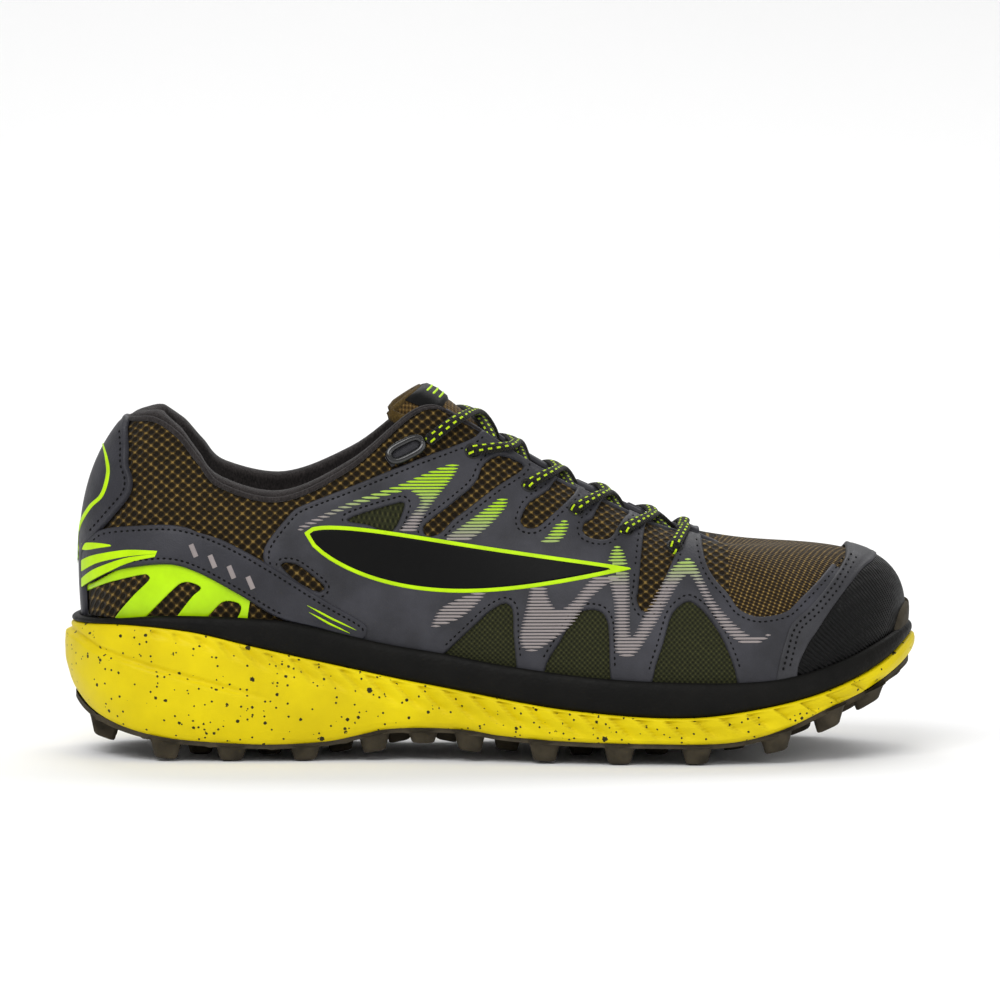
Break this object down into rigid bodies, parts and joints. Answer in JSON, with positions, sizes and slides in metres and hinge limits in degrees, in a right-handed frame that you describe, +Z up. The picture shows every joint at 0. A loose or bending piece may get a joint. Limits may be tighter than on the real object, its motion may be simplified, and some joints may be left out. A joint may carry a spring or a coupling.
{
  "type": "running shoe",
  "caption": "Right low trail running shoe with a lugged outsole, two-layer midsole, mesh upper under a laced overlay cage, padded collar and tongue.",
  "frame": {"origin": "middle of the box at the ground, under the lugs", "axes": "+X to the toe, +Y to the inner (medial) side, +Z up"},
  "size_m": [0.3, 0.1097, 0.1314],
  "materials": {
    "outsole_rubber": "satin",
    "midsole_yellow": "matte speckled foam",
    "midsole_black": "matte foam",
    "board": "non-woven",
    "insole": "brushed knit",
    "brown_mesh": "open sandwich mesh",
    "green_mesh": "fine mesh",
    "lining": "knit",
    "foam": "open foam",
    "binding": "fine knit",
    "overlay": "matte grained synthetic",
    "backer": "woven tape",
    "lime_film": "satin film",
    "guard": "ribbed satin",
    "emblem": "satin",
    "tongue_fabric": "mesh",
    "label": "woven label",
    "hook_plastic": "gloss",
    "lace_cord": "woven cord with lime flecks",
    "aglet_plastic": "gloss"
  },
  "bodies": {
    "shoe": {"outsole": "outsole_rubber", "midsole_carrier": "midsole_yellow", "midsole_rim": "midsole_black", "strobel_board": "board", "vamp_mesh": "brown_mesh", "lateral_quarter_mesh": "brown_mesh", "medial_quarter_mesh": "brown_mesh", "forefoot_lining": "lining", "heel_lining": "lining", "collar_lining": "lining", "collar_foam": "foam", "collar_binding": "binding", "heel_counter": "board", "toe_puff": "board", "lateral_eyestay_backer": "backer", "medial_eyestay_backer": "backer", "lateral_window_mesh": "green_mesh", "medial_window_mesh": "green_mesh", "lateral_cage": "overlay", "medial_cage": "overlay", "heel_tab": "overlay", "lateral_heel_film": "lime_film", "medial_heel_film": "lime_film", "lateral_heel_strap": "overlay", "medial_heel_strap": "overlay", "toe_rand": "overlay", "toe_guard": "guard", "toe_bumper": "outsole_rubber", "lateral_emblem": "emblem", "medial_emblem": "emblem", "tongue_body": "tongue_fabric", "lace_keeper": "backer", "lateral_lace_hook": "hook_plastic", "medial_lace_hook": "hook_plastic", "lace": "lace_cord", "aglets": "aglet_plastic"},
    "sockliner": {"sockliner": "insole"},
    "tongue_tip": {"tongue_tip": "tongue_fabric", "tongue_label": "label"}
  },
  "joints": [
    {"name": "tongue_tip_fold", "type": "hinge", "parent": "shoe", "child": "tongue_tip", "pos_m": [-0.0155, 0, 0.1195], "axis": [0, 1, 0], "range_deg": [-4, 14]},
    {"name": "sockliner_lift", "type": "hinge", "parent": "shoe", "child": "sockliner", "pos_m": [0.1375, 0, 0.032], "axis": [0, 1, 0], "range_deg": [0, 4]}
  ]
}
